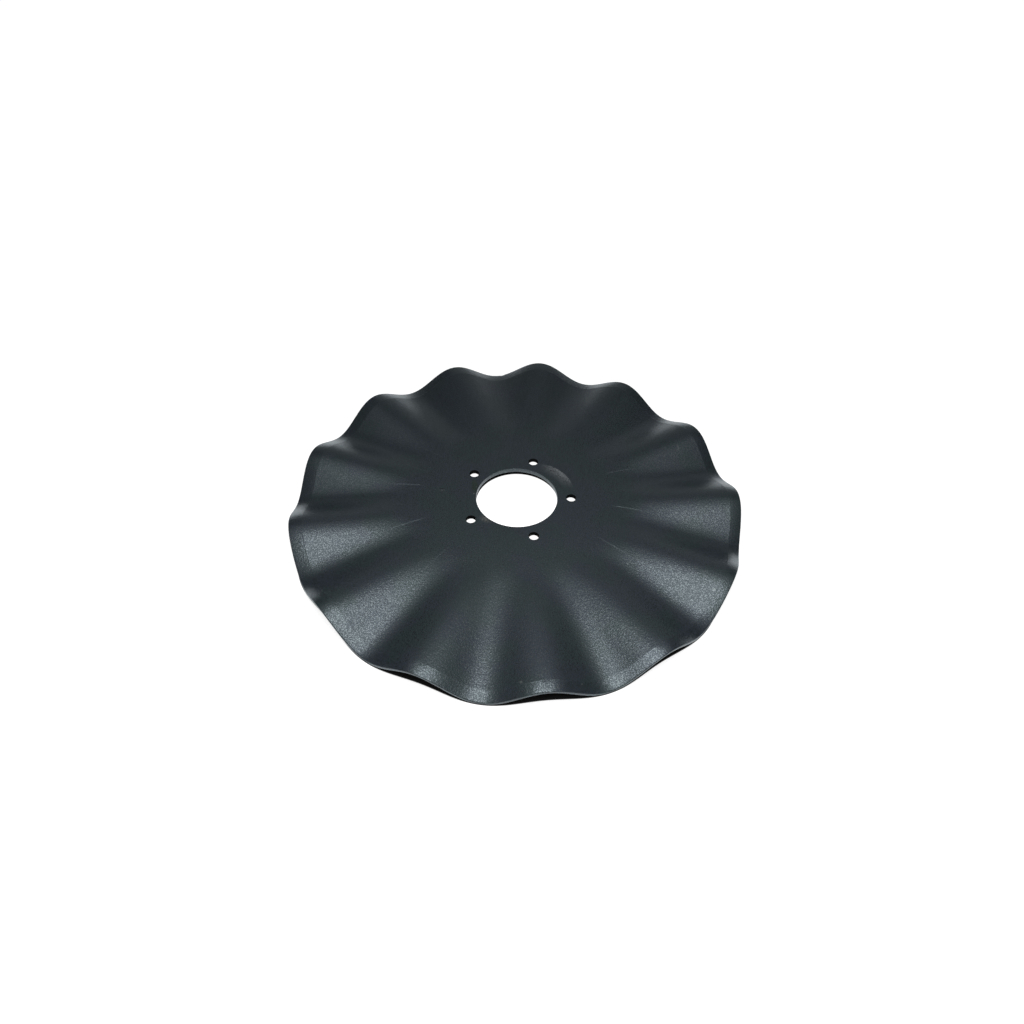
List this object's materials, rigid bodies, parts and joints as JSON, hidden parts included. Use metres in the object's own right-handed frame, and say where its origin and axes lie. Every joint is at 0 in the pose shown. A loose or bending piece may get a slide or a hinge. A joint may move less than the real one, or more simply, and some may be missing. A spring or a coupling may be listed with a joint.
{
  "type": "seed drill disc",
  "caption": "Round pressed steel disc blade: flat hub with a centre bore and a circle of bolt holes, and radial waves that grow out to a thin ground rim.",
  "frame": {"origin": "centre of the bore, halfway through the plate's thickness", "axes": "+Z along the axis the disc turns on, out of the face with the ground edge; +X through a wave crest and a bolt hole"},
  "size_m": [0.4318, 0.4318, 0.0229],
  "materials": {
    "painted_steel": "dark slate satin paint with a fine grain"
  },
  "bodies": {
    "root": {"wavy_disc": "painted_steel"}
  },
  "joints": []
}
